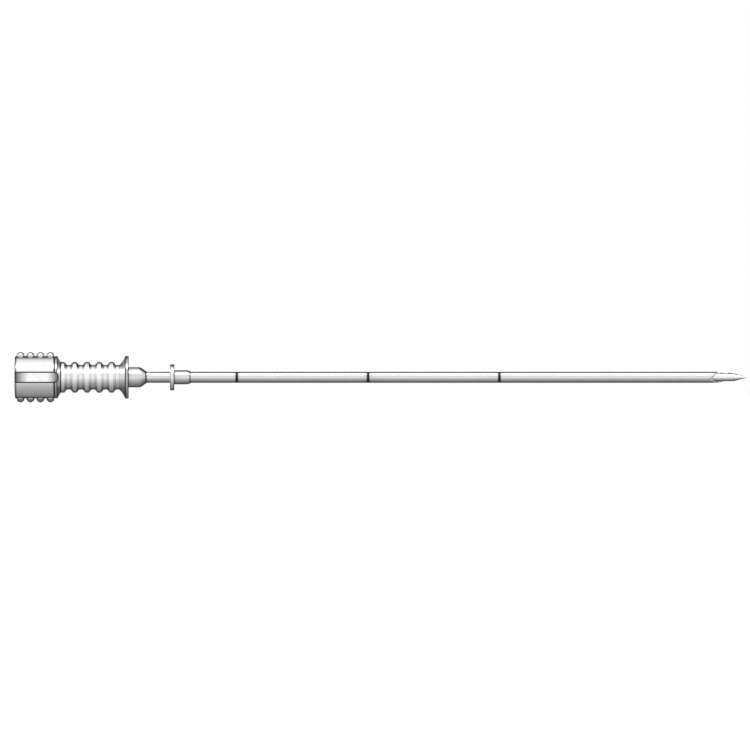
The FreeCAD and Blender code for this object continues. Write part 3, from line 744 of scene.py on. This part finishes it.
dome = [(-math.cos(a), BEAD * math.sin(a) ** 0.8, BEAD_SHADE) for a in np.linspace(0, math.pi, 33)]
bead = turned("beads", dome, around=64)
one = bmesh.new()
one.from_mesh(bead.data)
for vertex in one.verts:
    x, y, z = vertex.co
    vertex.co = (y, x, z + RIM * MM)
below = bmesh.ops.duplicate(one, geom=one.verts[:] + one.edges[:] + one.faces[:])["geom"]
for vertex in [item for item in below if isinstance(item, bmesh.types.BMVert)]:
    vertex.co.z -= 2 * RIM * MM
bmesh.ops.recalc_face_normals(one, faces=one.faces)
one.to_mesh(bead.data)
one.free()
# painted shade: the lower beads are darker
add_shade_and_grime_where(bead, lambda x, y, z: z < 0, LOWER_BEAD_SHADE)
run_tree(bead, row_tree, Count=BEADS, First=(CAP_REAR + FIRST_BEAD) * MM, Pitch=BEAD_PITCH * MM,
         Finish=satin_nickel)

key = bar("key", CAP_REAR + 0.01, KEY_BEND, KEY_HALF, KEY_FLOOR, KEY_TOP, crown=0.30, edge=0.12)
key.data.materials.append(polished_steel)
print("knob, beads and key:", [len(o.data.vertices) for o in (knob, bead, key)])

# %% [markdown]
# ## Stylet
# Under the knob, a male taper seats in the hub's socket and carries the rod. The taper shows only
# once the stylet is drawn out. At rest the rod fills the tube and shows at the bevel, where it ends
# in a ground cone. The cone's faint shoulder line is a ring of vertices with a little painted shade.

# %% Make the plug and the rod
PLUG_BACK, PLUG_TIP, ROD_HOLE = -16.9, -7.59, 0.755
# the last number of each corner is painted shade at rims and corners
plug = turned("plug", rounded([
    (PLUG_BACK, ROD_HOLE, 0, 0.5), (PLUG_BACK, PLUG_TAIL, 0, 0.5), (-14.5, PLUG_TAIL, 0, 0.8),
    (CAP_FRONT, PLUG_TAIL, 0, 0.9), (CAP_FRONT, 2.116, 0.02, 0.9), (-7.79, 1.927, 0.05, 0),
    (PLUG_TIP, 1.727, 0.05, 0), (PLUG_TIP, ROD_HOLE, 0, 0.9)], closed=True), closed=True)
plug.data.materials.append(polished_steel)
ROD, ROD_BACK = 0.75, -19.09
rod_end, cone_start = 118.0, 115.25
rod_profile = [(ROD_BACK, 0, 0)]
rod_profile += [(x, ROD, 0) for x in (ROD_BACK, -7.6, -7.3, 20, 50, 80, 105, 112, cone_start - 0.12)]
# painted shade: a faint dark line at the cone's shoulder
rod_profile += [(cone_start, 0.748, 0.25)]
rod_profile += [(cone_start + t * (rod_end - cone_start), 0.748 * (1 - t) + 0.012 * math.sin(math.pi * t), 0)
                for t in np.linspace(0.04, 0.985, 24)]
rod_profile += [(rod_end - 0.012, 0.009, 0), (rod_end, 0, 0)]
rod = turned("stylet_rod_ground", rod_profile, around=96)
rod.data.materials.append(polished_steel)
print("plug and rod:", len(plug.data.vertices), len(rod.data.vertices))

# %% [markdown]
# ## Depth stop
# A thin disc and a short sleeve hold a silicone ring between them, and the ring's grip keeps the
# stop where it is put. The sleeve's front is a convex cone like the nose's.

# %% Make the disc, the sleeve and the ring
STOP, STOP_BORE, DISC, POCKET, SLEEVE = 7.89, 1.095, 2.475, 1.70, 1.35
RING_BACK, RING_FRONT, RING_HOLE, RING_RIM = 8.11, 8.42, 1.075, 1.68
# the last number of each corner is painted shade at rims and corners
disc = turned("disc", rounded([
    (STOP, STOP_BORE, 0.03, 0.6), (STOP, DISC, 0.06, 0.5), (STOP + 0.8, DISC, 0.06, 0.5),
    (STOP + 0.8, POCKET, 0, 0.8), (STOP + 0.2, POCKET, 0, 1), (STOP + 0.2, STOP_BORE, 0, 1)],
    closed=True), closed=True)
# the last number of each point is painted shade, darkest at the sleeve's back and tip
sleeve_profile = [(STOP + 0.55, STOP_BORE, 1), (STOP + 0.55, 1.695, 1), (STOP + 0.79, 1.695, 1),
                  (STOP + 0.80, SLEEVE, 1), (STOP + 0.95, SLEEVE, 0.2), (STOP + 1.1, SLEEVE, 0),
                  (STOP + 2.0, SLEEVE, 0), (STOP + 2.85, SLEEVE, 0)]
sleeve_profile += convex((STOP + 2.95, 1.345), (STOP + 3.68, 1.21), 0.04)
sleeve_profile += [(STOP + 3.72, 1.202, 1), (STOP + 3.87, 1.165, 1), (STOP + 3.895, 1.155, 1),
                   (STOP + 3.9, 1.12, 1), (STOP + 3.9, STOP_BORE, 1)]
sleeve = turned("sleeve", sleeve_profile, closed=True)
ring = turned("grip_ring", rounded([
    (RING_BACK, RING_HOLE, 0.05, 0), (RING_BACK, RING_RIM, 0.08, 0), (RING_FRONT, RING_RIM, 0.08, 0),
    (RING_FRONT, RING_HOLE, 0.05, 0)], closed=True, reach=0.05), closed=True, around=96)
disc.data.materials.append(satin_nickel)
sleeve.data.materials.append(darker_nickel)


def silicone_material():
    material, tree = start_material("moulded_silicone")
    place = millimetres(tree)
    grain = noise(tree, place, 1 / 0.1, 3)
    base = mix_colours(tree, spread(tree, grain, 0, 1), linear("#b9b8b4"), linear("#c8c7c3"))
    shader = add(tree, "ShaderNodeBsdfPrincipled", inputs={
        "Base Color": base, "Roughness": spread(tree, grain, 0.5, 0.7)})
    shader.inputs["Subsurface Weight"].default_value = 0.1
    shader.inputs["Subsurface Scale"].default_value = 0.3 * MM
    add(tree, "ShaderNodeOutputMaterial", inputs={"Surface": shader.outputs[0]})
    return material


ring.data.materials.append(silicone_material())
print("stop:", [len(o.data.vertices) for o in (disc, sleeve, ring)])

# %% [markdown]
# ## Riding on the bodies
# Each piece takes the place of its solid and moves with that solid's body: the tube and hub stay,
# the stylet slides out, and the stop slides and turns.

# %% Ride and replace
RIDES = [
    (hub, "needle", ["hub_body"], "nickel_plate"), (nose, "needle", ["nose_ferrule"], "nickel_plate"),
    (tube, "needle", ["cannula"], "drawn_steel"), (bands, "needle", ["depth_marks"], "black_fill"),
    (knob, "stylet", ["stylet_cap"], "nickel_plate"), (bead, "stylet", ["stylet_cap"], "nickel_plate"),
    (key, "stylet", ["index_key"], "polished_steel"), (plug, "stylet", ["stylet_plug"], "polished_steel"),
    (rod, "stylet", ["stylet_rod"], "polished_steel"), (ring, "stop_grip", ["stop_ring"], "silicone"),
    (disc, "stop", ["stop_disc"], "nickel_plate"), (sleeve, "stop", ["stop_sleeve"], "nickel_plate")]
for piece, body, nodes, slot in RIDES:
    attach(piece, body)
    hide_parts(*nodes)

# %% [markdown]
# ## Floor and background
# The drawing's paper is pure white. A white floor under plain light would only be pale, so camera,
# glossy and transmission rays see three fifths of it as flat white. The rest is lit by the room and
# the lamp, so it still carries the needle's shadow.

# %% Lay the floor
WHITE_SHARE = 0.6


def is_seen(tree):
    """1 for camera, glossy and transmission rays."""
    path = add(tree, "ShaderNodeLightPath").outputs
    first = math_node(tree, "MAXIMUM", path["Is Camera Ray"], path["Is Glossy Ray"])
    return math_node(tree, "MAXIMUM", first, path["Is Transmission Ray"])


def floor_material():
    material, tree = start_material("white_paper")
    diffuse = add(tree, "ShaderNodeBsdfDiffuse", inputs={"Color": linear("#fcfcfc")})
    white = add(tree, "ShaderNodeEmission", inputs={"Color": (1, 1, 1, 1), "Strength": 1})
    share = math_node(tree, "MULTIPLY", is_seen(tree), WHITE_SHARE)
    both = add(tree, "ShaderNodeMixShader", inputs={0: share, 1: diffuse.outputs[0],
                                                    2: white.outputs[0]})
    add(tree, "ShaderNodeOutputMaterial", inputs={"Surface": both.outputs[0]})
    return material


def panel(name, corners, material):
    mesh = bpy.data.meshes.new(name)
    mesh.from_pydata(corners, [], [(0, 1, 2, 3)])
    mesh.materials.append(material)
    board = bpy.data.objects.new(name, mesh)
    bpy.context.scene.collection.objects.link(board)
    return board


FLOOR = -4.83 * MM
panel("floor", [(-4, -4, FLOOR), (4, -4, FLOOR), (4, 4, FLOOR), (-4, 4, FLOOR)], floor_material())
world = bpy.data.worlds.new("white_room")
world.use_nodes = True
world.node_tree.nodes.clear()
sky = add(world.node_tree, "ShaderNodeBackground", inputs={"Color": (1, 1, 1, 1), "Strength": 1})
add(world.node_tree, "ShaderNodeOutputWorld", inputs={"Surface": sky.outputs[0]})
bpy.context.scene.world = world
print("floor at", round(FLOOR / MM, 2), "mm")

# %% [markdown]
# ## Light and cards
# Bare metal in a white room looks flat, because it only shows what surrounds it. A photographer
# shapes it with one soft lamp overhead and with grey cards that only the reflections see. One bends
# over from behind and draws the dark line along the top. A closer one does that for the thin tube.
# One lies on the table and shades the underside. Its dark strip is only under the needle, and is
# narrower under the hub, so that end faces stay light. One more stands at each end.

# %% Set the lamp
lamp_data = bpy.data.lights.new("softbox_above", "AREA")
lamp_data.shape, lamp_data.size, lamp_data.size_y = "RECTANGLE", 2.4, 1.0
lamp_data.energy = 30
lamp = bpy.data.objects.new("softbox_above", lamp_data)
lamp.location = (aim_x, -0.75, 1.3)
lamp.rotation_euler = (math.radians(-30), 0, 0)
bpy.context.scene.collection.objects.link(lamp)
print("softbox", round(lamp.location.length, 2), "m away")

# %% Set the cards
def card_material():
    """Grey card that shows the level written on each of its corners."""
    material, tree = start_material("grey_card")
    level = add(tree, "ShaderNodeAttribute", {"attribute_name": "level"}).outputs["Fac"]
    glow = add(tree, "ShaderNodeEmission", inputs={"Strength": level})
    add(tree, "ShaderNodeOutputMaterial", inputs={"Surface": glow.outputs[0]})
    return material


card_grey = card_material()


def card(name, rows):
    """Card from rows of points (x, y, z, level). Rows and points are joined to a grid."""
    count = len(rows[0])
    faces = [(r * count + c, r * count + c + 1, (r + 1) * count + c + 1, (r + 1) * count + c)
             for r in range(len(rows) - 1) for c in range(count - 1)]
    mesh = bpy.data.meshes.new(name)
    mesh.from_pydata([point[:3] for row in rows for point in row], [], faces)
    levels = [point[3] for row in rows for point in row]
    mesh.attributes.new("level", "FLOAT", "POINT").data.foreach_set("value", levels)
    mesh.materials.append(card_grey)
    board = bpy.data.objects.new(name, mesh)
    bpy.context.scene.collection.objects.link(board)
    board.visible_camera = board.visible_diffuse = board.visible_shadow = False


def curved_card(name, left, right, radius, levels):
    """Card bent about the needle: each level is at an angle in degrees from the front, over the top."""
    rows = []
    for angle, level in levels:
        y, z = -radius * math.cos(math.radians(angle)), radius * math.sin(math.radians(angle))
        rows.append([(left, y, z, level), (right, y, z, level)])
    card(name, rows)


LEFT, RIGHT = -1.2, 1.3
near = FLOOR + 0.02 * MM
curved_card("card_behind", LEFT, RIGHT, 1.05, [
    (94, 1.0), (106, 1.0), (118, 0.68), (129, 0.27), (138, 0.06), (150, 0.02), (161, 0.03), (168, 0.5),
    (179.7, 0.8)])
curved_card("card_over_tube", 3.6 * MM, 260 * MM, 70 * MM, [
    (90, 1.0), (98, 1.0), (104, 0.6), (112, 0.17), (122, 0.05), (150, 0.02)])
# y in mm, then the level under the hub, under the tube, and beyond the needle's ends
LEVELS_BELOW = (
    (-60, 0.98, 0.98, 0.98), (-20, 0.92, 0.92, 0.92), (-8.5, 0.68, 0.68, 0.8), (-4, 0.44, 0.44, 0.7),
    (-1, 0.26, 0.26, 0.6), (1, 0.12, 0.12, 0.55), (5, 0.05, 0.04, 0.5), (11, 0.45, 0.03, 0.5),
    (14, 0.6, 0.55, 0.6), (40, 0.85, 0.85, 0.85), (1000, 0.95, 0.95, 0.95))
below = []
for y, at_hub, at_tube, outside in LEVELS_BELOW:
    stations = ((-1200, outside), (-30, outside), (-22.5, at_hub), (1, at_hub), (4, at_tube),
                (119, at_tube), (128, outside), (1300, outside))
    below.append([(x * MM, y * MM, near, level) for x, level in stations])
card("card_below", below)
for name, side in (("card_left", -0.8), ("card_right", 0.9)):
    card(name, [[(side, y, near, level), (side, y, 0.6, level)]
                for y, level in ((-0.5, 0.97), (0, 0.95), (0.4, 0.85), (0.9, 0.3))])
print("cards set")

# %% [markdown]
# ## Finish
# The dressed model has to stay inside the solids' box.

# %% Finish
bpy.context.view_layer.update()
